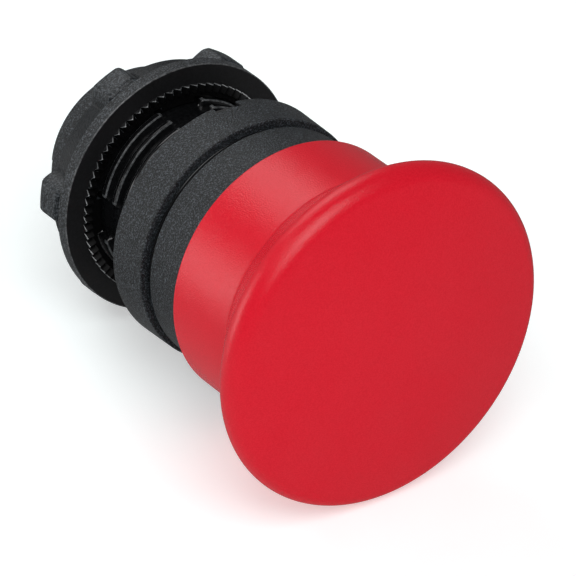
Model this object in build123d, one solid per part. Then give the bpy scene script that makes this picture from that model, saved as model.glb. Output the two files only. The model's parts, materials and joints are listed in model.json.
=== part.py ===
"""Mushroom push head for a 22 mm panel hole, as separate pieces. Millimetres.

Y runs along the push axis: the mushroom faces -Y and the barrel points to +Y. Z is up.
The origin is on the push axis, in the plane of the panel's front face.
Names that end in FRONT or REAR are places along Y. Names that end in R are radii.
"""

from build123d import *
from math import asin, atan2, cos, sin
import os

# Panel interface: a 22.3 mm hole with a 3.2 mm notch at twelve o'clock
CREST_R = 11.0
ROOT_R = 10.2
SPIGOT_REAR = 1.1
KEY_WIDTH = 3.0
KEY_BOTTOM_R = 9.6
KEY_TOP_R = 12.8
KEY_FOOT_R = 14.0
KEY_FOOT_DEPTH = 1.1

# Thread of the barrel and of the nut
PITCH = 2.0
THREAD_START = 2.3
THREAD_TURNS = 7
THREAD_SINK = 0.1
RIDGE_ROOT = 1.06
RIDGE_CREST = 0.5
NUT_RIDGE_ROOT = 0.95
LANE_WIDTH = 4.8
LANES = (0, 90, 180, 270)
LAND_R = 10.3
LAND_FRONT = 16.9
LAND_REAR = 18.6
REAR_SPIGOT_R = 9.5
BARREL_END = 20.0

# Flange, groove and front band
FLANGE_R = 14.65
FLANGE_FRONT_R = 14.5
FLANGE_REAR = -0.5
FLANGE_FRONT = -5.8
FLANGE_EDGE = 0.2
GROOVE_R = 13.3
BAND_R = 14.05
BAND_FRONT_R = 13.95
BAND_EDGE = 0.15
BAND_REAR = -6.85
BAND_FRONT = -15.4
BAND_LIP_R = 9.6
BAND_BEVEL = 0.5
COLLAR_R = 12.4
COLLAR_BEVEL = 0.3
COLLAR_FRONT = -14.9
GASKET_R = 13.7

# Mushroom cap
RIM_R = 20.0
RIM_HALF = 2.1
RIM_Y = -29.5
DOME_FRONT = -34.0
NECK_R = 15.2
NECK_BORE_R = 14.4
NECK_REAR = -12.9
NECK_FRONT = -22.8
NECK_FILLET = 1.6
NECK_EDGE = 0.3
CAVITY_FRONT = -31.2
BOSS_WALL = 0.9
BOSS_REAR = -25.0

# Insert and snap ring that join the cap to the plunger
CORE_R = 8.5
CORE_FLANGE_REAR = -28.8
CORE_REAR = -19.4
CORE_RIBS = 6
CORE_RELIEF_WIDTH = 2.0
CORE_RELIEF_DEPTH = 1.2
SNAP_FRONT = -27.1
SNAP_REAR = -26.3
SNAP_OUTER_R = 5.1
SNAP_INNER_R = 3.9
SNAP_OPENING = 3.0

# Plunger, its bearings and its seal
RUNNING = 0.05
STEM_R = 6.0
NOSE_R = 4.5
NOSE_FRONT = -29.5
NOSE_BORE_R = 2.2
TAIL_R = 4.0
STOP_R = 8.2
STOP_FRONT = -3.6
STOP_REAR = -2.4
BORE_R = 8.6
SEAL_BORE_R = 10.5
SEAL_REAR = -11.9
SEAL_FRONT = -13.7
RETAINER_R = 7.4
BUSH_REAR = -4.4
GREASE_GROOVE_WIDTH = 1.2
GREASE_GROOVE_DEPTH = 0.75
BUFFER_R = 8.0
BUFFER_GAP = 0.1
TAIL_END = 17.8

# Spring and the barrel's rear
SEAT_REAR = -1.4
SPRING_GUIDE_R = 6.5
SPRING_GUIDE = 0.9
SPRING_WIRE = 0.9
SPRING_R = 7.3
SPRING_TURNS = 7.5
SPRING_GAP = 0.03
EASE = 0.3
REAR_CAP_FRONT = 14.5
REAR_CAP_REAR = 16.6
CIRCLIP = 0.8
CIRCLIP_DEPTH = 0.5
CIRCLIP_R = 7.8
CIRCLIP_OPENING = 5.0
BAYONET_WIDTH = 2.4
BAYONET_DEPTH = 0.8
PUSHER_R = 7.2
PUSHER = 1.55
PUSHER_PAD = 0.6
PUSHER_PAD_WIDTH = 3.4
PUSHER_PAD_INNER_R = 4.8
PUSHER_PAD_OUTER_R = 6.8
TAIL_SPIGOT_R = 2.6
CLIP = 0.4
CLIP_R = 4.6
CLIP_GROOVE_R = 2.0
TAIL_TIP = 20.0

# Washer and nut
WASHER_FRONT = 8.3
WASHER = 1.65
WASHER_R = 15.0
WASHER_EDGE = 0.25
WASHER_TAB_WIDTH = 4.2
WASHER_TAB_R = 10.45
TEETH = 72
TOOTH_HEIGHT = 0.5
TOOTH_WIDTH = 1.0
TOOTH_INNER_R = 11.7
TOOTH_OUTER_R = 12.7
NUT_FRONT = 10.05
NUT_REAR = 13.9
NUT_R = 13.25
NUT_BEVEL = 0.4
NUT_BORE_R = 11.15
NUT_CREST_R = 10.4
NUT_THREAD_START = THREAD_START + 4.5 * PITCH
LUGS = 6
LUG_REAR = 14.2
LUG_TIP_R = 15.15
LUG_ROOT_WIDTH = 5.8
LUG_TIP_WIDTH = 3.7
LUG_ANGLE = 36
LUG_CORNER = 0.7
LUG_EDGE = 0.4


# Edges closer than this to a stated place are at that place
TOUCH = 0.01


def turned(*corners):
    """A solid of revolution about Y, from its (radius, y) corners in order."""
    return revolve(make_face(Polyline(*corners, close=True)), Axis.Y, 360)


def ring(outer, inner, front, rear, bevel=0.0):
    """A ring about Y, whose outer corners may be bevelled."""
    if not bevel:
        return turned((inner, front), (outer, front), (outer, rear), (inner, rear))
    return turned(
        (inner, front),
        (outer - bevel, front),
        (outer, front + bevel),
        (outer, rear - bevel),
        (outer - bevel, rear),
        (inner, rear),
    )


def rounded(piece, radius, *places):
    """The piece with a rounding on its circular edges at the given (radius, y) places."""
    edges = []
    for edge in piece.edges().filter_by(GeomType.CIRCLE):
        for r, y in places:
            if abs(edge.radius - r) < TOUCH and abs(edge.center().Y - y) < TOUCH:
                edges.append(edge)
    return fillet(edges, radius)


def at_angle(angle, piece):
    """The piece turned about Y, by an angle that runs from +Z towards +X."""
    return Rotation(0, angle, 0) * piece


def bar(width, bottom, top, front, rear):
    """A bar at twelve o'clock, as wide as given along X, from bottom to top along Z."""
    centre = Location((0, (front + rear) / 2, (bottom + top) / 2))
    return centre * Box(width, rear - front, top - bottom)


def helical_ridge(start, turns, root, crest, root_width, crest_width):
    """A right-handed ridge about Y, which starts on the X axis and ends at the crest radius."""
    path = Helix(pitch=PITCH, height=PITCH * turns, radius=root)
    profile = Polyline(
        (root, 0, -root_width / 2),
        (crest, 0, -crest_width / 2),
        (crest, 0, crest_width / 2),
        (root, 0, root_width / 2),
        close=True,
    )
    ridge = sweep(make_face(profile), path=path, is_frenet=True)
    return Location((0, start, 0)) * Rotation(-90, 0, 0) * ridge


def snap_ring(outer, inner, front, rear, opening):
    """A flat ring with an opening at six o'clock."""
    slot = bar(opening, inner / 2, outer + 1, front - 1, rear + 1)
    return ring(outer, inner, front, rear) - at_angle(180, slot)


def threaded_barrel():
    """Flange, front collar and barrel in one moulding, with four plain lanes in the thread."""
    body = turned(
        (BORE_R, SEAL_REAR),
        (SEAL_BORE_R, SEAL_REAR),
        (SEAL_BORE_R, COLLAR_FRONT),
        (COLLAR_R - COLLAR_BEVEL, COLLAR_FRONT),
        (COLLAR_R, COLLAR_FRONT + COLLAR_BEVEL),
        (COLLAR_R, BAND_REAR),
        (GROOVE_R, BAND_REAR),
        (GROOVE_R, FLANGE_FRONT),
        (FLANGE_FRONT_R, FLANGE_FRONT),
        (FLANGE_R, FLANGE_REAR),
        (CREST_R, FLANGE_REAR),
        (CREST_R, SPIGOT_REAR),
        (ROOT_R, SPIGOT_REAR + EASE),
        (ROOT_R, LAND_FRONT),
        (LAND_R, LAND_FRONT + EASE),
        (LAND_R, LAND_REAR),
        (REAR_SPIGOT_R, LAND_REAR),
        (REAR_SPIGOT_R, BARREL_END - EASE),
        (REAR_SPIGOT_R - EASE, BARREL_END),
        (BORE_R, BARREL_END),
    )
    body = rounded(body, FLANGE_EDGE, (FLANGE_FRONT_R, FLANGE_FRONT), (FLANGE_R, FLANGE_REAR))
    thread = helical_ridge(
        THREAD_START, THREAD_TURNS, ROOT_R - THREAD_SINK, CREST_R, RIDGE_ROOT, RIDGE_CREST
    )
    for angle in LANES:
        thread -= at_angle(angle, bar(LANE_WIDTH, ROOT_R - 1, CREST_R + 1, SPIGOT_REAR, BARREL_END))
    body += thread
    body -= ring(BORE_R + CIRCLIP_DEPTH, BORE_R - 1, REAR_CAP_REAR, REAR_CAP_REAR + CIRCLIP)
    body -= locating_key()
    for angle in (90, 270):
        notch = bar(BAYONET_WIDTH, BORE_R - 1, CREST_R, BARREL_END - BAYONET_DEPTH, BARREL_END + 1)
        body -= at_angle(angle, notch)
    return body - bar(KEY_WIDTH, KEY_FOOT_R, FLANGE_R + 1, FLANGE_REAR - KEY_FOOT_DEPTH, FLANGE_REAR + 1)


def locating_key():
    """Tab that stops the head turning in its panel hole, with its foot let into the flange."""
    foot = bar(KEY_WIDTH, KEY_BOTTOM_R, KEY_FOOT_R, FLANGE_REAR - KEY_FOOT_DEPTH, FLANGE_REAR)
    return foot + bar(KEY_WIDTH, KEY_BOTTOM_R, KEY_TOP_R, FLANGE_REAR, SPIGOT_REAR)


def panel_gasket():
    """Flat ring between the flange and the panel, notched round the key."""
    notch = bar(KEY_WIDTH, KEY_BOTTOM_R, KEY_TOP_R, FLANGE_REAR - 1, 1)
    return ring(GASKET_R, CREST_R, FLANGE_REAR, 0) - notch


def bezel_ring():
    """Front band, pressed over the barrel's collar, with a lip over the collar's front."""
    band = turned(
        (COLLAR_R, BAND_REAR),
        (BAND_R, BAND_REAR),
        (BAND_FRONT_R, BAND_FRONT + BAND_BEVEL),
        (BAND_FRONT_R - BAND_BEVEL, BAND_FRONT),
        (BAND_LIP_R, BAND_FRONT),
        (BAND_LIP_R, COLLAR_FRONT),
        (COLLAR_R - COLLAR_BEVEL, COLLAR_FRONT),
        (COLLAR_R, COLLAR_FRONT + COLLAR_BEVEL),
    )
    return rounded(band, BAND_EDGE, (BAND_R, BAND_REAR))


def lip_seal():
    """Rubber seal with a thin lip that leans forward onto the plunger."""
    lip_r = STEM_R + RUNNING
    return turned(
        (SEAL_BORE_R, SEAL_REAR),
        (SEAL_BORE_R, SEAL_FRONT),
        (lip_r + 2.2, SEAL_FRONT),
        (lip_r + 1.2, SEAL_FRONT + 0.6),
        (lip_r + 0.3, SEAL_FRONT + 0.1),
        (lip_r, SEAL_FRONT + 0.3),
        (lip_r, SEAL_FRONT + 0.7),
        (lip_r + 1.0, SEAL_FRONT + 1.3),
        (lip_r + 1.5, SEAL_REAR),
    )


def seal_retainer():
    """Ring that holds the lip seal in its bore."""
    return ring(SEAL_BORE_R, RETAINER_R, COLLAR_FRONT, SEAL_FRONT)


def guide_bush():
    """Front bearing of the plunger, with four grease grooves."""
    bush = ring(BORE_R, STEM_R + RUNNING, SEAL_REAR, BUSH_REAR)
    depth = STEM_R + RUNNING + GREASE_GROOVE_DEPTH
    groove = bar(GREASE_GROOVE_WIDTH, STEM_R - 1, depth, SEAL_REAR - 1, BUSH_REAR + 1)
    for angle in (45, 135, 225, 315):
        bush -= at_angle(angle, groove)
    return bush


def return_spring():
    """Compression spring between the moving seat and the rear cap."""
    front = SEAT_REAR + SPRING_WIRE / 2 + SPRING_GAP
    length = REAR_CAP_FRONT - SPRING_WIRE / 2 - SPRING_GAP - front
    path = Helix(pitch=length / SPRING_TURNS, height=length, radius=SPRING_R)
    section = Plane(origin=path @ 0, z_dir=path % 0) * Circle(SPRING_WIRE / 2)
    coil = sweep(section, path=path, is_frenet=True)
    return Location((0, front, 0)) * Rotation(-90, 0, 0) * coil


def rear_cap():
    """Rear bearing of the plunger and fixed seat of the spring."""
    return turned(
        (TAIL_R + RUNNING, REAR_CAP_FRONT - SPRING_GUIDE),
        (SPRING_GUIDE_R - EASE, REAR_CAP_FRONT - SPRING_GUIDE),
        (SPRING_GUIDE_R, REAR_CAP_FRONT - SPRING_GUIDE + EASE),
        (SPRING_GUIDE_R, REAR_CAP_FRONT),
        (BORE_R, REAR_CAP_FRONT),
        (BORE_R, REAR_CAP_REAR),
        (TAIL_R + RUNNING, REAR_CAP_REAR),
    )


def rear_circlip():
    """Snap ring that holds the rear cap in the barrel."""
    return snap_ring(BORE_R + CIRCLIP_DEPTH, CIRCLIP_R, REAR_CAP_REAR, REAR_CAP_REAR + CIRCLIP, CIRCLIP_OPENING)


def cap_outline():
    """Half section of the solid cap: dome, rim, sloped underside and neck."""
    rim_r = RIM_R - RIM_HALF
    rise = RIM_Y - DOME_FRONT
    dome_r = (rim_r**2 + rise**2 - RIM_HALF**2) / (2 * (rise - RIM_HALF))
    to_rim = Vector(rim_r, rise - dome_r).normalized()
    edge = Vector(rim_r, RIM_Y) + RIM_HALF * to_rim
    middle = Vector(edge.X / 2, DOME_FRONT + dome_r - (dome_r**2 - edge.X**2 / 4) ** 0.5)
    under = Vector(rim_r - NECK_R, RIM_Y - NECK_FRONT)
    slope = atan2(under.Y, under.X) + asin(RIM_HALF / under.length)
    tangent = Vector(rim_r - RIM_HALF * sin(slope), RIM_Y + RIM_HALF * cos(slope))
    return [
        Line((0, NECK_REAR), (0, DOME_FRONT)),
        ThreePointArc((0, DOME_FRONT), middle, edge),
        ThreePointArc(edge, (RIM_R, RIM_Y), tangent),
        Line(tangent, (NECK_R, NECK_FRONT)),
        Line((NECK_R, NECK_FRONT), (NECK_R, NECK_REAR)),
        Line((NECK_R, NECK_REAR), (0, NECK_REAR)),
    ]


def mushroom_cap():
    """Red cap, hollow behind, with a boss round the insert."""
    cap = revolve(make_face(cap_outline()), Axis.Y, 360)
    cap = rounded(cap, NECK_FILLET, (NECK_R, NECK_FRONT))
    cap = rounded(cap, NECK_EDGE, (NECK_R, NECK_REAR))
    cap -= ring(NECK_BORE_R, 0, CAVITY_FRONT, NECK_REAR + 1)
    return cap + ring(CORE_R + BOSS_WALL, CORE_R, CAVITY_FRONT, BOSS_REAR)


def cap_core():
    """Insert that joins the cap to the plunger: a ribbed sleeve on a round foot."""
    core = turned(
        (0, CAVITY_FRONT),
        (CORE_R, CAVITY_FRONT),
        (CORE_R, CORE_REAR),
        (NOSE_R, CORE_REAR),
        (NOSE_R, NOSE_FRONT),
        (0, NOSE_FRONT),
    )
    core -= ring(SNAP_OUTER_R, NOSE_R - 1, SNAP_FRONT, SNAP_REAR)
    relief = bar(CORE_RELIEF_WIDTH, CORE_R - CORE_RELIEF_DEPTH, CORE_R + 1, BOSS_REAR, CORE_REAR + 1)
    for number in range(CORE_RIBS):
        core -= at_angle(360 * number / CORE_RIBS, relief)
    return core


def cap_snap_ring():
    """Wire ring that locks the insert on the plunger's nose."""
    return snap_ring(SNAP_OUTER_R, SNAP_INNER_R, SNAP_FRONT, SNAP_REAR, SNAP_OPENING)


def plunger():
    """Stem with its nose, stop collar, tail and clip groove."""
    return turned(
        (NOSE_BORE_R, NOSE_FRONT),
        (NOSE_R - EASE, NOSE_FRONT),
        (NOSE_R, NOSE_FRONT + EASE),
        (NOSE_R, SNAP_FRONT),
        (SNAP_INNER_R, SNAP_FRONT),
        (SNAP_INNER_R, SNAP_REAR),
        (NOSE_R, SNAP_REAR),
        (NOSE_R, CORE_REAR),
        (STEM_R, CORE_REAR),
        (STEM_R, STOP_FRONT),
        (STOP_R, STOP_FRONT),
        (STOP_R, STOP_REAR),
        (TAIL_R, STOP_REAR),
        (TAIL_R, TAIL_END),
        (TAIL_SPIGOT_R, TAIL_END),
        (TAIL_SPIGOT_R, TAIL_END + PUSHER),
        (CLIP_GROOVE_R, TAIL_END + PUSHER),
        (CLIP_GROOVE_R, TAIL_END + PUSHER + CLIP),
        (TAIL_SPIGOT_R, TAIL_END + PUSHER + CLIP),
        (TAIL_SPIGOT_R, TAIL_TIP),
        (0, TAIL_TIP),
        (0, STOP_FRONT),
        (NOSE_BORE_R, STOP_FRONT),
    )


def stop_buffer():
    """Rubber washer that meets the guide bush at the end of the outward stroke."""
    return ring(BUFFER_R, STEM_R, BUSH_REAR + BUFFER_GAP, STOP_FRONT)


def spring_seat():
    """Moving seat of the spring, with a spigot inside the coil."""
    return turned(
        (TAIL_R, STOP_REAR),
        (STOP_R, STOP_REAR),
        (STOP_R, SEAT_REAR),
        (SPRING_GUIDE_R, SEAT_REAR),
        (SPRING_GUIDE_R, SEAT_REAR + SPRING_GUIDE - EASE),
        (SPRING_GUIDE_R - EASE, SEAT_REAR + SPRING_GUIDE),
        (TAIL_R, SEAT_REAR + SPRING_GUIDE),
    )


def contact_pusher():
    """Disc on the plunger's tail, with two pads that work a contact block."""
    rear = TAIL_END + PUSHER
    disc = ring(PUSHER_R, TAIL_SPIGOT_R, TAIL_END, rear, EASE)
    pad = bar(PUSHER_PAD_WIDTH, PUSHER_PAD_INNER_R, PUSHER_PAD_OUTER_R, rear, rear + PUSHER_PAD)
    return disc + at_angle(90, pad) + at_angle(270, pad)


def pusher_clip():
    """Open clip that holds the pusher on the plunger."""
    front = TAIL_END + PUSHER
    return snap_ring(CLIP_R, CLIP_GROOVE_R, front, front + CLIP, 2 * CLIP_GROOVE_R)


def grip_washer():
    """Disc with a ring of fine teeth for the panel, and four tabs that run in the barrel's lanes."""
    rear = WASHER_FRONT + WASHER
    disc = ring(WASHER_R, NUT_BORE_R, WASHER_FRONT, rear)
    disc = rounded(disc, WASHER_EDGE, (WASHER_R, WASHER_FRONT), (WASHER_R, rear))
    tab = bar(WASHER_TAB_WIDTH, WASHER_TAB_R, TOOTH_INNER_R, WASHER_FRONT, rear)
    for angle in LANES:
        disc += at_angle(angle, tab)
    profile = Polyline(
        (-TOOTH_WIDTH / 2, WASHER_FRONT),
        (0, WASHER_FRONT - TOOTH_HEIGHT),
        (TOOTH_WIDTH / 2, WASHER_FRONT),
        (0, WASHER_FRONT + TOOTH_HEIGHT),
        close=True,
    )
    tooth = extrude(Plane.XY.offset(TOOTH_INNER_R) * make_face(profile), TOOTH_OUTER_R - TOOTH_INNER_R)
    return disc + [at_angle(360 * number / TEETH, tooth) for number in range(TEETH)]


def lug():
    """One grip of the nut, rounded at its corners, at twelve o'clock."""
    foot = NUT_BORE_R + 1
    outline = Polyline(
        (-LUG_ROOT_WIDTH / 2, foot),
        (-LUG_TIP_WIDTH / 2, LUG_TIP_R),
        (LUG_TIP_WIDTH / 2, LUG_TIP_R),
        (LUG_ROOT_WIDTH / 2, foot),
        close=True,
    )
    solid = extrude(Plane.XZ * make_face(outline), -(LUG_REAR - NUT_FRONT))
    solid = Location((0, NUT_FRONT, 0)) * solid
    solid = fillet(solid.edges().filter_by(Axis.Y).group_by(Axis.Z)[-1], LUG_CORNER)
    return fillet(solid.edges().group_by(Axis.Y)[-1], LUG_EDGE)


def fixing_nut():
    """Nut with six lugs and an inner thread to match the barrel."""
    nut = turned(
        (NUT_BORE_R, NUT_FRONT),
        (NUT_R, NUT_FRONT),
        (NUT_R, NUT_REAR - NUT_BEVEL),
        (NUT_R - NUT_BEVEL, NUT_REAR),
        (NUT_BORE_R + NUT_BEVEL, NUT_REAR),
        (NUT_BORE_R, NUT_REAR - NUT_BEVEL),
    )
    for number in range(LUGS):
        nut += at_angle(LUG_ANGLE + 360 * number / LUGS, lug())
    root = NUT_BORE_R + THREAD_SINK
    return nut + helical_ridge(NUT_THREAD_START, 1, root, NUT_CREST_R, NUT_RIDGE_ROOT, RIDGE_CREST)


NODES = (
    mushroom_cap,
    cap_core,
    cap_snap_ring,
    plunger,
    stop_buffer,
    spring_seat,
    contact_pusher,
    pusher_clip,
    threaded_barrel,
    bezel_ring,
    locating_key,
    panel_gasket,
    lip_seal,
    seal_retainer,
    guide_bush,
    return_spring,
    rear_cap,
    rear_circlip,
    grip_washer,
    fixing_nut,
)


def main():
    os.makedirs("parts", exist_ok=True)
    for node in NODES:
        export_step(node(), f"parts/{node.__name__}.step")


main()
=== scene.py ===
import json
from math import asin, atan2, cos, degrees, pi, radians, sin, sqrt, tan

import bpy
import bmesh
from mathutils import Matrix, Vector


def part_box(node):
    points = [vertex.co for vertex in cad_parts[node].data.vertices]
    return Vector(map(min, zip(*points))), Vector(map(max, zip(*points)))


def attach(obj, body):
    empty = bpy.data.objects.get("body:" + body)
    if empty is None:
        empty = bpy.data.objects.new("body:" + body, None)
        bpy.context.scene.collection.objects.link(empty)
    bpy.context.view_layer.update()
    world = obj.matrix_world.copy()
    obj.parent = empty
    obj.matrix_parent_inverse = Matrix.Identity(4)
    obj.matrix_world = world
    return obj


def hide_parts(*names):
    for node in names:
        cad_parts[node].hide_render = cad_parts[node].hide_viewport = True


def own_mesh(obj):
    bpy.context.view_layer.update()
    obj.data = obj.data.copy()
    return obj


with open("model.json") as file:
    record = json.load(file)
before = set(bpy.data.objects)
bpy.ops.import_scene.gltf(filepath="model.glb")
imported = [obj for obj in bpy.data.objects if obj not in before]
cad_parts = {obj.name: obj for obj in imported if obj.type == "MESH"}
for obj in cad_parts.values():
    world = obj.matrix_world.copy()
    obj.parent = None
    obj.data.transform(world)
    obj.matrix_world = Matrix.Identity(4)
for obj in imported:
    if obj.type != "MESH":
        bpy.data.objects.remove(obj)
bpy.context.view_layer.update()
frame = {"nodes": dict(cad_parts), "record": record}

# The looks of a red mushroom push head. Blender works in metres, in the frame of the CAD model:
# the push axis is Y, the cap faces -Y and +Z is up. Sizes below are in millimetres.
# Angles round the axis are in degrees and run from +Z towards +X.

MM = 0.001


def low_mm(node):
    """The lowest corner of a CAD node, in mm."""
    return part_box(node)[0] / MM


def high_mm(node):
    """The highest corner of a CAD node, in mm."""
    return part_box(node)[1] / MM


# Roundings of edges that have no value of their own
FINE_EDGE = 0.1
SMALL_EDGE = 0.2
EASED_EDGE = 0.3

# Angles of the four lanes, and of the two sides at three and nine o'clock
LANE_PITCH = 90
LANES = (0, 90, 180, 270)
SIDES = (90, 270)

# Cap
RIM_R = high_mm("mushroom_cap").x
DOME_FRONT = low_mm("mushroom_cap").y
NECK_REAR = high_mm("mushroom_cap").y
RIM_HALF = 2.1
DOME_DEPTH = 4.5
RIM_Y = DOME_FRONT + DOME_DEPTH
NECK_R = 15.2
NECK_BORE_R = 14.4
NECK_LENGTH = 9.9
NECK_FRONT = NECK_REAR - NECK_LENGTH
NECK_FILLET = 1.1
NECK_EDGE = 0.3
BOSS_OUTER_R = 9.4
BOSS_BORE_R = 8.5
CAVITY_FRONT = low_mm("cap_core").y
CAVITY_FILLET = 0.4
BOSS_LENGTH = 6.2
BOSS_REAR = CAVITY_FRONT + BOSS_LENGTH
DOME_STEPS = 48
RIM_STEPS = 20
CAP_ROUND_STEPS = 8

# Front band
BAND_R = high_mm("bezel_ring").x
BAND_FRONT = low_mm("bezel_ring").y
BAND_REAR = high_mm("bezel_ring").y
BAND_TAPER = 0.1
BAND_FRONT_R = BAND_R - BAND_TAPER
BAND_LIP_R = 9.6
BAND_LIP = 0.5
BAND_BEVEL = 0.5
BAND_EDGE = 0.15
COLLAR_R = 12.4

# Barrel
FLANGE_R = high_mm("threaded_barrel").x
FLANGE_TAPER = 0.15
FLANGE_FRONT_R = FLANGE_R - FLANGE_TAPER
GROOVE_WIDTH = 1.05
FLANGE_FRONT = BAND_REAR + GROOVE_WIDTH
FLANGE_REAR = low_mm("panel_gasket").y
FLANGE_EDGE = 0.2
GROOVE_R = 13.3
BORE_R = 8.6
SEAL_BORE_R = 10.5
SEAL_REAR = high_mm("lip_seal").y
CREST_R = 11.0
ROOT_R = 10.2
SPIGOT_REAR = high_mm("locating_key").y
LAND_R = 10.3
LAND_FRONT = 16.9
LAND_REAR = 18.6
REAR_SPIGOT_R = 9.5
BARREL_END = high_mm("threaded_barrel").y
BORE_EDGE = 0.15
BARREL_ROUND_STEPS = 3
BARREL_STEP = 1.5
TEXTURE_MARGIN = 0.5

# Thread
PITCH = 2.0
THREAD_START = 2.3
THREAD_TURNS = 7
RIDGE_HALF = 0.56
LANE_HALF_ANGLE = 13.1
LANE_END_ANGLE = 3.0
# A ridge never gets narrower than this share of its width where it ends at a lane
RIDGE_LEAST_WIDTH = 0.3
# Where angles are added at the end of a ridge, as shares of LANE_END_ANGLE
LANE_END_SHARES = (0.03, 0.1, 0.22, 0.4, 0.65, 1)
# Section of a ridge from one foot to the other: (share of its half width, share of its height)
RIDGE_PROFILE = (
    (-1, 0), (-0.66, 0.78), (-0.6, 0.94), (-0.47, 1),
    (0.47, 1), (0.6, 0.94), (0.66, 0.78), (1, 0),
)
# The line of painted highlight at a crest's edges: how far it starts above the root and stops below the
# crest
HIGHLIGHT_START = 0.62
HIGHLIGHT_END = 0.012
THREAD_MARGIN = 0.3

# Key and its slot
KEY_HALF = high_mm("locating_key").x
KEY_BOTTOM_R = low_mm("locating_key").z
KEY_TOP_R = 12.8
KEY_FOOT_R = high_mm("locating_key").z
KEY_FOOT_FRONT = low_mm("locating_key").y
KEY_EDGE = 0.12
KEY_EDGE_STEPS = 3
SLOT_FILLET = 0.05
SLOT_ANGLE = 9.0
SLOT_FADE_ANGLE = 12.5
BAYONET_ANGLE = 7.6
BAYONET_DEPTH = 0.8

# Washer
WASHER_R = high_mm("grip_washer").x
WASHER_REAR = high_mm("grip_washer").y
TOOTH_PEAK = 0.5
TOOTH_VALLEY = 0.15
TEETH = 72
TOOTH_INNER_R = 11.7
TOOTH_OUTER_R = 12.7
TOOTH_FOOT = 0.05
TOOTH_TOP_R = TOOTH_OUTER_R - 0.12
TOOTH_LINE_R = TOOTH_OUTER_R - 0.1
TOOTH_SHOULDER_R = TOOTH_OUTER_R - 0.03
TOOTH_SHOULDER = 0.8
TOOTH_BLUNT = 0.06
TOOTH_FLAT_ANGLE = 0.17
HALF_TOOTH_ANGLE = 180 / TEETH
WASHER_FRONT = low_mm("grip_washer").y + TOOTH_PEAK
WASHER_EDGE = 0.13
WASHER_BORE_R = 11.15
WASHER_TAB_R = 10.45
WASHER_TAB_ANGLE = 11.2

# Nut
NUT_FRONT = low_mm("fixing_nut").y
LUG_REAR = high_mm("fixing_nut").y
LUG_PROUD = 0.3
NUT_REAR = LUG_REAR - LUG_PROUD
NUT_R = 13.25
NUT_BORE_R = 11.15
NUT_CREST_R = 10.4
NUT_EDGE = 0.4
NUT_FRONT_EDGE = 0.2
NUT_STEP = 1
LUG_R = 15.15
LUGS = 6
FIRST_LUG = 36
LUG_FOOT_ANGLE = 12.8
LUG_TOP_ANGLE = 5.8
LUG_EDGE = 1.25
LUG_FRONT_EDGE = 0.6
LUG_REAR_SLOPE = 0.1
NUT_THREAD_START = THREAD_START + 4.5 * PITCH
# The nut's thread reaches its full height in one part in this many of a turn
NUT_THREAD_FADE = 30
# The nut's finish: grain per mm, its depth, where its specks start and end, roughness of crown and lugs
NUT_GRAIN = 4
NUT_GRAIN_DEPTH = 0.1
NUT_SPECKS = (0.46, 0.66)
NUT_GLOSS = (0.48, 0.4)
LUG_FADE_START_R = NUT_R + 0.1
LUG_FADE_END_R = NUT_R + 0.9

# Rear pusher
PUSHER_R = high_mm("contact_pusher").x
PUSHER_FRONT = low_mm("contact_pusher").y
PUSHER_END = high_mm("contact_pusher").y
PUSHER_REAR = low_mm("pusher_clip").y
PUSHER_BORE_R = 2.6
PAD_HALF = 1.7
PAD_INNER_R = 4.8
PAD_OUTER_R = 6.8
PAD_ANGLE = 15.0
PAD_END_ANGLE = 1.5
PAD_FADE_ANGLE = 40.0
PAD_FOOT = 0.04
PAD_SHOULDER = 0.17
PAD_SHOULDER_RISE = 0.75
PUSHER_STEP = 2.5
# Where angles are added at a pad's sides, as shares of PAD_END_ANGLE
PAD_END_SHARES = (0, 0.15, 0.4, 1)

# Return spring
SPRING_FRONT = low_mm("return_spring").y
SPRING_REAR = high_mm("return_spring").y
SPRING_OUTER_R = high_mm("return_spring").x
SPRING_WIRE = 0.9
SPRING_TURNS = 7.5
CLOSED_TURNS = 0.9
CLOSING_TURNS = 0.3
CLOSED_PITCH = 0.92
WIRE_SIDES = 12
SPRING_STEPS = 360

# Where the camera stands, seen from the middle of the cap's rim
CAMERA_AZIMUTH = -35.07
CAMERA_ELEVATION = 31.34
CAMERA_DISTANCE = 512 * MM
AIM_RIGHT = -9.66 * MM
AIM_UP = 4.95 * MM
FRAME_PIXELS = 576
FOCAL_PIXELS = 4850
SENSOR_WIDTH = 36

# Studio sizes in metres, and the distances in mm between which the floor's own light grows
FLOOR_HALF = 0.6
BACKDROP_R = 3
LIGHT_AIM = Vector((0, -10 * MM, 0))
GLOW_NEAR = 90
GLOW_FAR = 350

# The way to the tent's bright side, and its strength away from there and there
TENT_BRIGHT_WAY = (-0.62, 0.62, -0.48)
TENT_STRENGTH = (0.15, 0.3)

ROUND_STEPS = 4
FINE_STEP = 1.25
TINY_ANGLE = 0.02
SHARP_ANGLE = radians(38)


# Mesh making


def outline(corners, steps=ROUND_STEPS):
    """The (r, y) points of a closed outline, from (r, y) or (r, y, rounding) corners in order."""
    points = []
    for index, corner in enumerate(corners):
        here = Vector(corner[:2])
        if len(corner) == 2:
            points.append(here)
            continue
        before = (Vector(corners[index - 1][:2]) - here).normalized()
        after = (Vector(corners[(index + 1) % len(corners)][:2]) - here).normalized()
        half = before.angle(after) / 2
        reach = corner[2] / tan(half)
        centre = here + (before + after).normalized() * corner[2] / sin(half)
        first = (here + before * reach - centre).normalized()
        last = (here + after * reach - centre).normalized()
        for step in range(steps + 1):
            points.append(centre + first.slerp(last, step / steps) * corner[2])
    return points


def arc(centre, radius, first, last, steps):
    """(r, y) points of an arc, between two angles from +r towards +y."""
    points = []
    for step in range(steps + 1):
        angle = first + (last - first) * step / steps
        points.append((centre[0] + radius * cos(angle), centre[1] + radius * sin(angle)))
    return points


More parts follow.
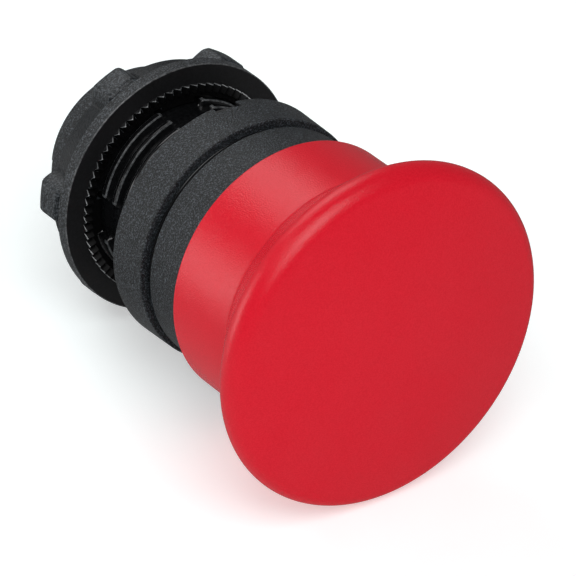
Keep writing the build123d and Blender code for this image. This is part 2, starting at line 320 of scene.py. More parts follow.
def round_angles(step, *walls):
    """Angles all round the axis, with each wall angle doubled so that a step there is sharp."""
    angles = {number * step for number in range(round(360 / step))}
    for wall in walls:
        angles.discard(wall % 360)
        angles.add((wall - TINY_ANGLE) % 360)
        angles.add((wall + TINY_ANGLE) % 360)
    return sorted(angles)


def signed(angle):
    """The same angle, from -180 to 180."""
    return (angle + 180) % 360 - 180


def past_side(angle):
    """How far an angle is past the nearer of three and nine o'clock."""
    return angle % 180 - 90


def from_lane(angle):
    """How far an angle is from the middle of the nearest lane."""
    return abs((angle + LANE_PITCH / 2) % LANE_PITCH - LANE_PITCH / 2)


def thread_turn(angle):
    """Share of a turn that a thread has made at this angle, counted from three o'clock."""
    return (angle - 90) % 360 / 360


def limited(share):
    """A share kept from 0 to 1."""
    return min(max(share, 0), 1)


def no_warp(angle, r):
    """Leaves an angle as it is."""
    return angle


def swept(name, section, angles, warp=no_warp):
    """A closed ring about Y, whose (r, y) outline at each angle is section(angle)."""
    mesh = bpy.data.meshes.new(name)
    work = bmesh.new()
    rings = []
    for angle in angles:
        ring = []
        for r, y in section(angle):
            turn = radians(warp(angle, r))
            ring.append(work.verts.new((r * sin(turn) * MM, y * MM, r * cos(turn) * MM)))
        rings.append(ring)
    for index, ring in enumerate(rings):
        following = rings[(index + 1) % len(rings)]
        for place, vertex in enumerate(ring):
            beside = (place + 1) % len(ring)
            work.faces.new((vertex, following[place], following[beside], ring[beside]))
    bmesh.ops.remove_doubles(work, verts=work.verts, dist=1e-7)
    bmesh.ops.recalc_face_normals(work, faces=work.faces)
    work.to_mesh(mesh)
    work.free()
    return smooth(mesh)


def smooth(mesh):
    """An object from the mesh, smooth but for its sharp edges, and even across its large faces."""
    mesh.shade_smooth()
    mesh.set_sharp_from_angle(angle=SHARP_ANGLE)
    piece = bpy.data.objects.new(mesh.name, mesh)
    bpy.context.scene.collection.objects.link(piece)
    weighted = piece.modifiers.new("even_normals", "WEIGHTED_NORMAL")
    weighted.keep_sharp = True
    return piece


def put(piece, node, body):
    """Lets the piece stand for a CAD node and move with its body."""
    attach(piece, body)
    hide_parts(node)


def paint(piece, finishes, names, choose=None):
    """Gives a piece its finishes. choose(r, y) names the one for a face at that radius and y, in mm."""
    for name in names:
        piece.data.materials.append(finishes[name])
    if choose is None:
        return
    for face in piece.data.polygons:
        centre = face.center / MM
        face.material_index = names.index(choose(sqrt(centre.x**2 + centre.z**2), centre.y))


# Pieces


def cap_section():
    """Half section of the cap: dome, rim, sloped underside, neck and the hollow behind."""
    rim_r = RIM_R - RIM_HALF
    rise = RIM_Y - DOME_FRONT
    dome_r = (rim_r**2 + rise**2 - RIM_HALF**2) / (2 * (rise - RIM_HALF))
    dome_angle = atan2(rise - dome_r, rim_r)
    slope = atan2(RIM_Y - NECK_FRONT, rim_r - NECK_R)
    reach = sqrt((rim_r - NECK_R) ** 2 + (RIM_Y - NECK_FRONT) ** 2)
    under_angle = slope + asin(RIM_HALF / reach) + pi / 2
    dome = arc((0, DOME_FRONT + dome_r), dome_r, -pi / 2, dome_angle, DOME_STEPS)
    rim = arc((rim_r, RIM_Y), RIM_HALF, dome_angle, under_angle, RIM_STEPS)
    neck_and_hollow = [
        (NECK_R, NECK_FRONT, NECK_FILLET),
        (NECK_R, NECK_REAR, NECK_EDGE),
        (NECK_BORE_R, NECK_REAR, FINE_EDGE),
        (NECK_BORE_R, CAVITY_FRONT, CAVITY_FILLET),
        (BOSS_OUTER_R, CAVITY_FRONT, EASED_EDGE),
        (BOSS_OUTER_R, BOSS_REAR, SMALL_EDGE),
        (BOSS_BORE_R, BOSS_REAR, FINE_EDGE),
        (BOSS_BORE_R, CAVITY_FRONT),
        (0, CAVITY_FRONT),
    ]
    return outline(dome[:-1] + rim + neck_and_hollow, CAP_ROUND_STEPS)


def make_cap():
    """The red cap as one smooth turned shell."""
    section = cap_section()
    cap = swept("cap_shell", lambda angle: section, round_angles(FINE_STEP))
    put(cap, "mushroom_cap", "push_head")
    return cap


def make_band():
    """The black band round the collar, with a lip over its front."""
    section = outline([
        (COLLAR_R, BAND_REAR, FINE_EDGE),
        (BAND_R, BAND_REAR, BAND_EDGE),
        (BAND_FRONT_R, BAND_FRONT, BAND_BEVEL),
        (BAND_LIP_R, BAND_FRONT, SMALL_EDGE),
        (BAND_LIP_R, BAND_FRONT + BAND_LIP),
        (COLLAR_R, BAND_FRONT + BAND_LIP),
    ])
    band = swept("front_band", lambda angle: section, round_angles(FINE_STEP))
    put(band, "bezel_ring", "housing")
    return band


def ridge_height(angle):
    """Share of its full height that a ridge has at this angle: none in a lane, with round ends."""
    share = limited((from_lane(angle) - LANE_HALF_ANGLE) / LANE_END_ANGLE)
    return sqrt(1 - (1 - share) ** 2)


def ridge(root, crest, y, height):
    """(r, y) points over one thread ridge whose middle is at y."""
    width = RIDGE_HALF * max(height, RIDGE_LEAST_WIDTH)
    points = []
    for side, rise in RIDGE_PROFILE:
        points.append((root + (crest - root) * rise * height, y + side * width))
    return points


def parallel(angle, r, half_width, wall_angle, fade_angle):
    """Turns an angle near zero so that walls at wall_angle stand half_width from the middle plane."""
    wall = degrees(asin(min(half_width / r, 1))) if r else wall_angle
    if abs(angle) >= fade_angle:
        return angle
    if abs(angle) <= wall_angle:
        return angle * wall / wall_angle
    past = (abs(angle) - wall_angle) / (fade_angle - wall_angle)
    turned = wall + past * (fade_angle - wall)
    return turned if angle > 0 else -turned


def slot_warp(angle, r):
    """Makes the key slot's walls parallel."""
    return parallel(signed(angle), r, KEY_HALF, SLOT_ANGLE, SLOT_FADE_ANGLE)


def pad_warp(angle, r):
    """Makes the sides of the pusher's two pads parallel."""
    past = past_side(angle)
    return angle - past + parallel(past, r, PAD_HALF, PAD_ANGLE, PAD_FADE_ANGLE)


def barrel_section(angle):
    """Half section of the barrel at one angle: flange, thread, key slot and rear notches."""
    in_slot = abs(signed(angle)) < SLOT_ANGLE
    in_notch = abs(past_side(angle)) < BAYONET_ANGLE
    seat = KEY_FOOT_FRONT if in_slot else FLANGE_REAR
    key_r = KEY_BOTTOM_R if in_slot else CREST_R
    end = BARREL_END - BAYONET_DEPTH if in_notch else BARREL_END
    thread = []
    for number in range(THREAD_TURNS):
        y = THREAD_START + PITCH * (number + thread_turn(angle))
        thread += ridge(ROOT_R, CREST_R, y, ridge_height(angle))
    return outline([
        (BORE_R, SEAL_REAR),
        (SEAL_BORE_R, SEAL_REAR),
        (SEAL_BORE_R, BAND_FRONT + BAND_LIP),
        (COLLAR_R, BAND_FRONT + BAND_LIP),
        (COLLAR_R, BAND_REAR),
        (GROOVE_R, BAND_REAR, FINE_EDGE),
        (GROOVE_R, FLANGE_FRONT, FINE_EDGE),
        (FLANGE_FRONT_R, FLANGE_FRONT, FLANGE_EDGE),
        (FLANGE_R, seat, FLANGE_EDGE),
        (key_r, seat, SLOT_FILLET),
        (key_r, SPIGOT_REAR, FINE_EDGE),
        (ROOT_R, SPIGOT_REAR + EASED_EDGE),
        *thread,
        (ROOT_R, LAND_FRONT),
        (LAND_R, LAND_FRONT + EASED_EDGE),
        (LAND_R, LAND_REAR, FINE_EDGE),
        (REAR_SPIGOT_R, LAND_REAR, FINE_EDGE),
        (REAR_SPIGOT_R, end, EASED_EDGE),
        (BORE_R, end, BORE_EDGE),
    ], BARREL_ROUND_STEPS)


def make_barrel():
    """Flange, front collar and threaded barrel in one moulding."""
    walls = [-SLOT_ANGLE, SLOT_ANGLE]
    for side in SIDES:
        walls += [side - BAYONET_ANGLE, side + BAYONET_ANGLE]
    for lane in LANES:
        for share in LANE_END_SHARES:
            reach = LANE_HALF_ANGLE + share * LANE_END_ANGLE
            walls += [lane - reach, lane + reach]
    barrel = swept("barrel_moulding", barrel_section, round_angles(BARREL_STEP, *walls), slot_warp)
    put(barrel, "threaded_barrel", "housing")
    return barrel


def barrel_finish(r, y):
    """Textured flange and rear end, smooth thread, and thin lines of painted highlight at each crest's
    edges.
    """
    if r > GROOVE_R + TEXTURE_MARGIN or y > LAND_FRONT - TEXTURE_MARGIN:
        return "textured"
    in_thread = y > FLANGE_REAR + THREAD_MARGIN and r > SEAL_BORE_R
    at_edge = ROOT_R + HIGHLIGHT_START < r < CREST_R - HIGHLIGHT_END
    return "edge_highlight" if in_thread and at_edge else "smooth"


def make_key():
    """The locating key: a tab with a foot, pushed from its side view and rounded at every edge."""
    side = [
        (KEY_FOOT_FRONT, KEY_BOTTOM_R),
        (SPIGOT_REAR, KEY_BOTTOM_R),
        (SPIGOT_REAR, KEY_TOP_R),
        (FLANGE_REAR, KEY_TOP_R),
        (FLANGE_REAR, KEY_FOOT_R),
        (KEY_FOOT_FRONT, KEY_FOOT_R),
    ]
    work = bmesh.new()
    left = [work.verts.new((-KEY_HALF * MM, y * MM, z * MM)) for y, z in side]
    right = [work.verts.new((KEY_HALF * MM, y * MM, z * MM)) for y, z in side]
    work.faces.new(left)
    work.faces.new(right[::-1])
    for index in range(len(side)):
        beside = (index + 1) % len(side)
        work.faces.new((left[index], left[beside], right[beside], right[index]))
    bmesh.ops.recalc_face_normals(work, faces=work.faces)
    bmesh.ops.bevel(
        work,
        geom=work.edges[:],
        offset=KEY_EDGE * MM,
        segments=KEY_EDGE_STEPS,
        profile=0.5,
        affect="EDGES",
    )
    mesh = bpy.data.meshes.new("key_tab")
    work.to_mesh(mesh)
    work.free()
    key = smooth(mesh)
    put(key, "locating_key", "housing")
    return key


def tooth_height(angle):
    """Height of the washer's teeth above its face: a slightly blunt zigzag."""
    share = abs(angle * TEETH / 360 % 1 - 0.5) * 2
    share = limited((share - TOOTH_BLUNT) / (1 - 2 * TOOTH_BLUNT))
    return share * (TOOTH_PEAK + TOOTH_VALLEY) - TOOTH_VALLEY


def washer_section(angle):
    """Half section of the washer at one angle, across its teeth and tabs."""
    tooth = WASHER_FRONT - tooth_height(angle)
    shoulder = tooth * TOOTH_SHOULDER + WASHER_FRONT * (1 - TOOTH_SHOULDER)
    in_tab = from_lane(angle) < WASHER_TAB_ANGLE
    bore = WASHER_TAB_R if in_tab else WASHER_BORE_R
    return outline([
        (bore, WASHER_FRONT),
        (TOOTH_INNER_R, WASHER_FRONT),
        (TOOTH_INNER_R + TOOTH_FOOT, tooth),
        (TOOTH_TOP_R, tooth),
        (TOOTH_SHOULDER_R, shoulder),
        (TOOTH_OUTER_R, WASHER_FRONT),
        (TOOTH_OUTER_R + TOOTH_FOOT, WASHER_FRONT),
        (WASHER_R, WASHER_FRONT, WASHER_EDGE),
        (WASHER_R, WASHER_REAR, WASHER_EDGE),
        (bore, WASHER_REAR, FINE_EDGE),
    ])


def make_washer():
    """The washer's disc, with fine teeth on its front and four tabs in the barrel's lanes."""
    walls = []
    for lane in LANES:
        walls += [lane - WASHER_TAB_ANGLE, lane + WASHER_TAB_ANGLE]
    angles = round_angles(HALF_TOOTH_ANGLE, *walls)
    for number in range(2 * TEETH):
        middle = HALF_TOOTH_ANGLE * number
        angles += [(middle - TOOTH_FLAT_ANGLE) % 360, (middle + TOOTH_FLAT_ANGLE) % 360]
    washer = swept("toothed_washer", washer_section, sorted(angles))
    put(washer, "grip_washer", "washer")
    return washer


def washer_finish(r, y):
    """Satin face, coarse rim and rear, teeth painted dark as shade, and thin lines of painted highlight
    round the face and the teeth.
    """
    if y > WASHER_FRONT + WASHER_EDGE:
        return "coarse"
    if r > WASHER_R - WASHER_EDGE:
        return "edge_highlight"
    if r > TOOTH_SHOULDER_R:
        return "face"
    return "edge" if r > TOOTH_LINE_R else "teeth"


def lug_share(angle):
    """How far the nut's outside stands out towards a lug's top at this angle, from 0 to 1."""
    pitch = 360 / LUGS
    away = abs((angle - FIRST_LUG + pitch / 2) % pitch - pitch / 2)
    share = limited((LUG_FOOT_ANGLE - away) / (LUG_FOOT_ANGLE - LUG_TOP_ANGLE))
    return share * share * (3 - 2 * share)


def nut_section(angle):
    """Half section of the nut at one angle: crown or lug, and the ridge of its inner thread."""
    share = lug_share(angle)
    outer = NUT_R + share * (LUG_R - NUT_R)
    rear = NUT_REAR + share * (LUG_REAR - NUT_REAR)
    turn = thread_turn(angle)
    height = min(min(turn, 1 - turn) * NUT_THREAD_FADE, 1)
    inner = ridge(NUT_BORE_R, NUT_CREST_R, NUT_THREAD_START + PITCH * turn, height)
    return outline([
        (NUT_BORE_R, NUT_FRONT, FINE_EDGE),
        (outer, NUT_FRONT, NUT_FRONT_EDGE + share * (LUG_FRONT_EDGE - NUT_FRONT_EDGE)),
        (outer, rear, NUT_EDGE + share * (LUG_EDGE - NUT_EDGE)),
        (NUT_BORE_R, rear - share * LUG_REAR_SLOPE, SMALL_EDGE),
        *inner[::-1],
    ])


def make_nut():
    """The nut, whose six lugs grow out of the crown with rounded flanks."""
    nut = swept("lugged_nut", nut_section, round_angles(NUT_STEP))
    put(nut, "fixing_nut", "nut")
    return nut


def pusher_section(angle):
    """Half section of the rear pusher at one angle: a disc with round edges, and a pad at each side."""
    share = limited((PAD_ANGLE - abs(past_side(angle))) / PAD_END_ANGLE)
    rise = (PUSHER_END - PUSHER_REAR) * sqrt(1 - (1 - share) ** 2)
    shoulder = PUSHER_REAR + rise * PAD_SHOULDER_RISE
    return outline([
        (PUSHER_BORE_R, PUSHER_FRONT, FINE_EDGE),
        (PUSHER_R, PUSHER_FRONT, SMALL_EDGE),
        (PUSHER_R, PUSHER_REAR, EASED_EDGE),
        (PAD_OUTER_R, PUSHER_REAR),
        (PAD_OUTER_R - PAD_FOOT, shoulder),
        (PAD_OUTER_R - PAD_SHOULDER, PUSHER_REAR + rise),
        (PAD_INNER_R + PAD_SHOULDER, PUSHER_REAR + rise),
        (PAD_INNER_R + PAD_FOOT, shoulder),
        (PAD_INNER_R, PUSHER_REAR),
        (PUSHER_BORE_R, PUSHER_REAR, FINE_EDGE),
    ])


def make_pusher():
    """The rear pusher, which presses a contact block with two pads."""
    angles = set(round_angles(PUSHER_STEP))
    for side in SIDES:
        for share in PAD_END_SHARES:
            reach = PAD_ANGLE - share * PAD_END_ANGLE
            angles |= {side - reach, side + reach}
    pusher = swept("pad_disc", pusher_section, sorted(angles), pad_warp)
    put(pusher, "contact_pusher", "push_head")
    return pusher


def spring_pitch(turn, open_pitch):
    """Rise per turn of the spring: closed at both ends, open between."""
    from_end = min(turn, SPRING_TURNS - turn)
    share = limited((from_end - CLOSED_TURNS) / CLOSING_TURNS)
    return CLOSED_PITCH + share * (open_pitch - CLOSED_PITCH)


def spring_line():
    """The (turn, y) points of the wire's middle line, from the front end to the rear end."""
    rise = SPRING_REAR - SPRING_FRONT - SPRING_WIRE
    open_turns = SPRING_TURNS - 2 * CLOSED_TURNS - CLOSING_TURNS
    open_pitch = CLOSED_PITCH + (rise - CLOSED_PITCH * SPRING_TURNS) / open_turns
    step = SPRING_TURNS / SPRING_STEPS
    y = SPRING_FRONT + SPRING_WIRE / 2
    points = [(0, y)]
    for number in range(SPRING_STEPS):
        y += step * spring_pitch((number + 0.5) * step, open_pitch)
        points.append(((number + 1) * step, y))
    return points


def make_spring():
    """The return spring: round wire, open in the middle, with its end turns closed."""
    work = bmesh.new()
    middle_r = SPRING_OUTER_R - SPRING_WIRE / 2
    rings = []
    for turn, y in spring_line():
        ring = []
        for side in range(WIRE_SIDES):
            around = 2 * pi * side / WIRE_SIDES
            r = middle_r + SPRING_WIRE / 2 * cos(around)
            height = y + SPRING_WIRE / 2 * sin(around)
            angle = 2 * pi * turn
            ring.append(work.verts.new((r * sin(angle) * MM, height * MM, r * cos(angle) * MM)))
        rings.append(ring)
    for ring, following in zip(rings, rings[1:]):
        for side in range(WIRE_SIDES):
            beside = (side + 1) % WIRE_SIDES
            work.faces.new((ring[side], following[side], following[beside], ring[beside]))
    work.faces.new(rings[0])
    work.faces.new(rings[-1][::-1])
    bmesh.ops.recalc_face_normals(work, faces=work.faces)
    mesh = bpy.data.meshes.new("push_spring")
    work.to_mesh(mesh)
    work.free()
    spring = smooth(mesh)
    put(spring, "return_spring", "housing")
    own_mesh(spring)
    return spring


# Materials


# Parts of a noise texture's range, the roughness of fine grain, and the size of clouds of gloss
NARROW_MIDDLE = (0.38, 0.62)
WIDE_MIDDLE = (0.3, 0.7)
GRAIN_ROUGHNESS = 0.6
CLOUDS_PER_MM = 0.12


def shader_tree(name):
    """A new material, its node tree and its shader."""
    material = bpy.data.materials.new(name)
    material.use_nodes = True
    tree = material.node_tree
    return material, tree, tree.nodes["Principled BSDF"]


def place_mm(tree):
    """The place on the object in mm, as a socket."""
    coordinates = tree.nodes.new("ShaderNodeTexCoord")
    mapping = tree.nodes.new("ShaderNodeMapping")
    mapping.inputs["Scale"].default_value = (1000, 1000, 1000)
    tree.links.new(coordinates.outputs["Object"], mapping.inputs["Vector"])
    return mapping.outputs["Vector"]


def noise(tree, place, per_mm, detail=2.0, roughness=0.5):
    """A noise texture with about per_mm blotches in each millimetre, as a socket from 0 to 1."""
    texture = tree.nodes.new("ShaderNodeTexNoise")
    texture.inputs["Scale"].default_value = per_mm
    texture.inputs["Detail"].default_value = detail
    texture.inputs["Roughness"].default_value = roughness
    tree.links.new(place, texture.inputs["Vector"])
    return texture.outputs["Fac"]


def ramp(tree, value, low, high, first, last):
    """Blends from one colour or number to another while the value goes from low to high."""
    blend = tree.nodes.new("ShaderNodeMapRange")
    blend.inputs["From Min"].default_value = low
    blend.inputs["From Max"].default_value = high
    tree.links.new(value, blend.inputs["Value"])
    if isinstance(first, (int, float)):
        blend.inputs["To Min"].default_value = first
        blend.inputs["To Max"].default_value = last
        return blend.outputs["Result"]
    mix = tree.nodes.new("ShaderNodeMix")
    mix.data_type = "RGBA"
    tree.links.new(blend.outputs["Result"], mix.inputs["Factor"])
    mix.inputs["A"].default_value = (*first, 1)
    mix.inputs["B"].default_value = (*last, 1)
    return mix.outputs["Result"]


def bump(tree, height, depth_mm):
    """Bump of full strength from a height socket."""
    made = tree.nodes.new("ShaderNodeBump")
    made.inputs["Distance"].default_value = depth_mm * MM
    made.inputs["Strength"].default_value = 1.0
    tree.links.new(height, made.inputs["Height"])
    return made.outputs["Normal"]


def from_axis(tree, place, near, far):
    """A socket that goes from 0 to 1 while the distance from the push axis goes from near to far mm."""
    flat = tree.nodes.new("ShaderNodeVectorMath")
    flat.operation = "MULTIPLY"
    flat.inputs[1].default_value = (1, 0, 1)
    tree.links.new(place, flat.inputs[0])
    length = tree.nodes.new("ShaderNodeVectorMath")
    length.operation = "LENGTH"
    tree.links.new(flat.outputs["Vector"], length.inputs[0])
    return ramp(tree, length.outputs["Value"], near, far, 0.0, 1.0)


def moulded(name, dark, light, gloss, grain, depth_mm, specular=0.5, specks=NARROW_MIDDLE):
    """Moulded plastic or rubber: two tones, a range of roughness, and grain per mm with its depth.
    specks is the part of the grain's range in which dark turns to light."""
    material, tree, shader = shader_tree(name)
    shader.inputs["Specular IOR Level"].default_value = specular
    place = place_mm(tree)
    fine = noise(tree, place, grain, roughness=GRAIN_ROUGHNESS)
    broad = noise(tree, place, CLOUDS_PER_MM)
    tree.links.new(ramp(tree, fine, *specks, dark, light), shader.inputs["Base Color"])
    tree.links.new(ramp(tree, broad, *WIDE_MIDDLE, *gloss), shader.inputs["Roughness"])
    tree.links.new(bump(tree, fine, depth_mm), shader.inputs["Normal"])
    return material


def nut_finish(name):
    """Coarse specks on the nut's lugs, which fade to a darker and more even crown between them."""
    material, tree, shader = shader_tree(name)
    shader.inputs["Specular IOR Level"].default_value = 0.4
    place = place_mm(tree)
    fine = noise(tree, place, NUT_GRAIN, roughness=GRAIN_ROUGHNESS)
    lug = from_axis(tree, place, LUG_FADE_START_R, LUG_FADE_END_R)
    coarse = ramp(tree, fine, *NUT_SPECKS, (0.006, 0.008, 0.01), (0.075, 0.085, 0.095))
    # The crown between the lugs gets a darker, more even tone than the lugs
    darker_crown = ramp(tree, fine, *NARROW_MIDDLE, (0.002, 0.003, 0.004), (0.01, 0.013, 0.016))
    blend = tree.nodes.new("ShaderNodeMix")
    blend.data_type = "RGBA"
    tree.links.new(lug, blend.inputs["Factor"])
    tree.links.new(darker_crown, blend.inputs["A"])
    tree.links.new(coarse, blend.inputs["B"])
    tree.links.new(blend.outputs["Result"], shader.inputs["Base Color"])
    tree.links.new(ramp(tree, lug, 0, 1, *NUT_GLOSS), shader.inputs["Roughness"])
    tree.links.new(bump(tree, fine, NUT_GRAIN_DEPTH), shader.inputs["Normal"])
    return material


def drawn_wire(name):
    """Spring steel with fine uneven marks in its colour and gloss."""
    material, tree, shader = shader_tree(name)
    marks = noise(tree, place_mm(tree), 9, detail=4, roughness=0.7)
    tone = ramp(tree, marks, *WIDE_MIDDLE, (0.6, 0.6, 0.62), (0.78, 0.78, 0.8))
    tree.links.new(tone, shader.inputs["Base Color"])
    tree.links.new(ramp(tree, marks, *WIDE_MIDDLE, 0.35, 0.5), shader.inputs["Roughness"])
    tree.links.new(bump(tree, marks, depth_mm=0.01), shader.inputs["Normal"])
    shader.inputs["Metallic"].default_value = 1.0
    return material


def make_blacks():
    """The black moulded finishes that the photo shows, by name."""
    return {
        "textured": moulded(
            "eroded_black",
            dark=(0.001, 0.002, 0.003),
            light=(0.085, 0.1, 0.115),
            gloss=(0.38, 0.46),
            grain=5.5,
            depth_mm=0.13,
            specks=(0.5, 0.67),
        ),
        "coarse": moulded(
            "coarse_black",
            dark=(0.002, 0.003, 0.004),
            light=(0.095, 0.107, 0.12),
            gloss=(0.38, 0.46),
            grain=5,
            depth_mm=0.14,
            specks=(0.48, 0.66),
        ),
        "smooth": moulded(
            "smooth_black",
            dark=(0.003, 0.0032, 0.0035),
            light=(0.006, 0.0063, 0.007),
            gloss=(0.13, 0.2),
            grain=3,
            depth_mm=0.003,
        ),
        "face": moulded(
            "washer_face",
            dark=(0.007, 0.007, 0.0075),
            light=(0.012, 0.012, 0.013),
            gloss=(0.29, 0.36),
            grain=4,
            depth_mm=0.006,
            specular=0.4,
        ),
        # Painted shade: the teeth are the washer's own plastic, made darker and less shiny than its
        # face to stand in for the shade between them
        "teeth": moulded(
            "tooth_painted_shade",
            dark=(0.001, 0.001, 0.0012),
            light=(0.003, 0.003, 0.0033),
            gloss=(0.4, 0.5),
            grain=4,
            depth_mm=0.006,
            specular=0.1,
        ),
        # Painted highlight: a bright colour for the thin zigzag line at the teeth's outer ends, where
        # the light catches them
        "edge": moulded(
            "painted_tooth_highlight",
            dark=(0.12, 0.125, 0.13),
            light=(0.3, 0.31, 0.32),
            gloss=(0.29, 0.36),
            grain=3,
            depth_mm=0.004,
        ),
        # Painted highlight: a lighter colour for the thin bright lines at the washer's front rim and at
        # the thread's crest edges
        "edge_highlight": moulded(
            "painted_line_highlight",
            dark=(0.03, 0.032, 0.034),
            light=(0.12, 0.125, 0.13),
            gloss=(0.29, 0.36),
            grain=3,
            depth_mm=0.004,
        ),
        "nut": nut_finish("nut_black"),
    }


def make_others():
    """The cap's red and the finishes of the pieces that are mostly hidden, by name."""
    return {
        "red": moulded(
            "red_satin",
            dark=(0.7, 0.006, 0.02),
            light=(0.75, 0.01, 0.027),
            gloss=(0.2, 0.25),
            grain=6,
            depth_mm=0.042,
            specular=0.33,
        ),
        "inner": moulded(
            "inner_black",
            dark=(0.04, 0.04, 0.045),
            light=(0.06, 0.06, 0.065),
            gloss=(0.4, 0.5),
            grain=3,
            depth_mm=0.006,
        ),
        "pale": moulded(
            "natural_acetal",
            dark=(0.72, 0.71, 0.66),
            light=(0.8, 0.79, 0.74),
            gloss=(0.35, 0.45),
            grain=3,
            depth_mm=0.005,
        ),
        "grey": moulded(
            "key_grey",
            dark=(0.008, 0.0085, 0.009),
            light=(0.014, 0.015, 0.016),
            gloss=(0.3, 0.4),
            grain=4,
            depth_mm=0.01,
        ),
        "gasket": moulded(
            "sheet_rubber",
            dark=(0.014, 0.013, 0.015),
            light=(0.03, 0.028, 0.032),
            gloss=(0.6, 0.7),
            grain=5,
            depth_mm=0.012,
        ),
        "seal": moulded(
            "moulded_rubber",
            dark=(0.016, 0.016, 0.016),
            light=(0.026, 0.026, 0.026),
            gloss=(0.45, 0.6),
            grain=4,
            depth_mm=0.008,
        ),
        "steel": drawn_wire("spring_wire"),
    }


SLOT_FINISH = {
    "red_plastic": "red",
    "black_plastic": "textured",
    "smooth_black_plastic": "smooth",
    "inner_plastic": "inner",
    "pale_plastic": "pale",
    "grey_plastic": "grey",
    "gasket_rubber": "gasket",
    "seal_rubber": "seal",
    "spring_steel": "steel",
}


def finish_cad_nodes(finishes):
    """Gives every CAD node the finish of its slot."""
    for part in frame["record"]["subparts"]:
        piece = frame["nodes"][part["node"]]
        material = finishes[SLOT_FINISH[part["material_slot"]]]
        for slot in piece.material_slots:
            slot.material = material


# Studio


def camera_axes():
    """The camera's right, up and back directions."""
    azimuth = radians(CAMERA_AZIMUTH)
    elevation = radians(CAMERA_ELEVATION)
    back = Vector((sin(azimuth) * cos(elevation), -cos(azimuth) * cos(elevation), sin(elevation)))
    right = Vector((0, 0, 1)).cross(back).normalized()
    return right, back.cross(right), back


def make_camera():
    """A long lens aimed a little to the left of the rim's centre and above it."""
    right, up, back = camera_axes()
    rim = Vector((0, RIM_Y * MM, 0))
    aim = rim + AIM_RIGHT * right + AIM_UP * up
    data = bpy.data.cameras.new("camera")
    data.sensor_width = SENSOR_WIDTH
    data.lens = data.sensor_width * FOCAL_PIXELS / FRAME_PIXELS
    data.clip_start = 10 * MM
    camera = bpy.data.objects.new("camera", data)
    camera.location = aim + CAMERA_DISTANCE * back
    camera.rotation_euler = back.to_track_quat("Z", "Y").to_euler()
    bpy.context.scene.collection.objects.link(camera)
    bpy.context.scene.camera = camera


def make_floor():
    """The table that the head lies on: a plane under the cap's rim and the nut's lugs."""
    nut_low, nut_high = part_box("fixing_nut")
    slope = (nut_low.z + RIM_R * MM) / (nut_high.y - RIM_Y * MM)
    corners = []
    for across, along in ((-1, -1), (1, -1), (1, 1), (-1, 1)):
        y = along * FLOOR_HALF
        corners.append((across * FLOOR_HALF, y, -RIM_R * MM + slope * (y - RIM_Y * MM)))
    mesh = bpy.data.meshes.new("floor")
    mesh.from_pydata(corners, [], [(0, 1, 2, 3)])
    table = bpy.data.objects.new("floor", mesh)
    bpy.context.scene.collection.objects.link(table)
    material, tree, shader = shader_tree("floor_paper")
    clouds = noise(tree, place_mm(tree), 0.2, detail=3)
    tint = ramp(tree, clouds, *WIDE_MIDDLE, (0.7, 0.77, 0.77), (0.72, 0.79, 0.79))
    tree.links.new(tint, shader.inputs["Base Color"])
    shader.inputs["Roughness"].default_value = 0.95
    shader.inputs["Specular IOR Level"].default_value = 0.1
    shader.inputs["Emission Color"].default_value = (1, 1, 1, 1)
    away = tree.nodes.new("ShaderNodeVectorMath")
    away.operation = "LENGTH"
    tree.links.new(place_mm(tree), away.inputs[0])
    glow = ramp(tree, away.outputs["Value"], GLOW_NEAR, GLOW_FAR, 0.47, 1.0)
    tree.links.new(glow, shader.inputs["Emission Strength"])
    mesh.materials.append(material)
    table.visible_glossy = False


def make_backdrop():
    """A white shell far behind everything, which only the camera sees."""
    work = bmesh.new()
    bmesh.ops.create_uvsphere(work, u_segments=48, v_segments=24, radius=BACKDROP_R)
    mesh = bpy.data.meshes.new("backdrop")
    work.to_mesh(mesh)
    work.free()
    shell = bpy.data.objects.new("backdrop", mesh)
    bpy.context.scene.collection.objects.link(shell)
    material, tree, shader = shader_tree("backdrop_white")
    shader.inputs["Base Color"].default_value = (0, 0, 0, 1)
    shader.inputs["Emission Color"].default_value = (1, 1, 1, 1)
    shader.inputs["Emission Strength"].default_value = 1.0
    mesh.materials.append(material)
    shell.visible_diffuse = False
    shell.visible_glossy = False
    shell.visible_transmission = False
    shell.visible_shadow = False


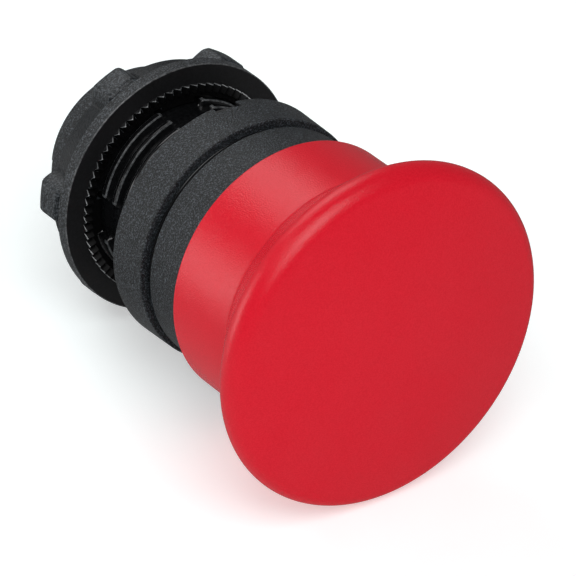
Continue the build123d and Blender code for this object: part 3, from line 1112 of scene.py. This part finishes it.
def softbox(name, way, distance, size, power):
    """A rectangular area light, in metres and watts, that shines at the object from a direction."""
    way = Vector(way).normalized()
    data = bpy.data.lights.new(name, "AREA")
    data.shape = "RECTANGLE"
    data.size, data.size_y = size
    data.energy = power
    light = bpy.data.objects.new(name, data)
    light.location = LIGHT_AIM + distance * way
    light.rotation_euler = way.to_track_quat("Z", "Y").to_euler()
    bpy.context.scene.collection.objects.link(light)


def make_tent():
    """A dim tent round the object that is brighter low on the left, behind."""
    world = bpy.data.worlds.new("studio")
    world.use_nodes = True
    tree = world.node_tree
    coordinates = tree.nodes.new("ShaderNodeTexCoord")
    along = tree.nodes.new("ShaderNodeVectorMath")
    along.operation = "DOT_PRODUCT"
    along.inputs[1].default_value = TENT_BRIGHT_WAY
    tree.links.new(coordinates.outputs["Generated"], along.inputs[0])
    strength = ramp(tree, along.outputs["Value"], 0.3, 0.95, *TENT_STRENGTH)
    tree.links.new(strength, tree.nodes["Background"].inputs["Strength"])
    tree.nodes["Background"].inputs["Color"].default_value = (1, 1, 1, 1)
    bpy.context.scene.world = world


def make_light():
    """One box behind at the left, one behind and above, a strip above at the left, and a large one
    in front and above."""
    softbox("left_rear_box", (-0.71, 0.699, 0.08), 0.5, (0.22, 0.24), 0.46)
    softbox("top_rear_box", (0.045, 0.699, 0.714), 0.5, (0.3, 0.3), 0.62)
    softbox("side_strip", (-0.6, 0.02, 0.8), 0.5, (0.45, 0.1), 0.25)
    softbox("front_box", (-0.25, -0.6, 0.8), 0.7, (0.5, 0.5), 3.2)


def plain_colours():
    """Shows colours as they are, without a film look."""
    bpy.context.scene.view_settings.view_transform = "Standard"
    bpy.context.scene.view_settings.look = "None"


def main():
    """Builds every piece, its finish, the floor, the camera and the light."""
    finishes = {**make_blacks(), **make_others()}
    finish_cad_nodes(finishes)
    paint(make_cap(), finishes, ["red"])
    paint(make_band(), finishes, ["textured"])
    paint(make_barrel(), finishes, ["textured", "smooth", "edge_highlight"], barrel_finish)
    paint(make_key(), finishes, ["grey"])
    paint(make_washer(), finishes, ["face", "coarse", "edge", "teeth", "edge_highlight"], washer_finish)
    paint(make_nut(), finishes, ["nut"])
    paint(make_pusher(), finishes, ["pale"])
    paint(make_spring(), finishes, ["steel"])
    make_camera()
    make_floor()
    make_backdrop()
    make_tent()
    make_light()
    plain_colours()


main()
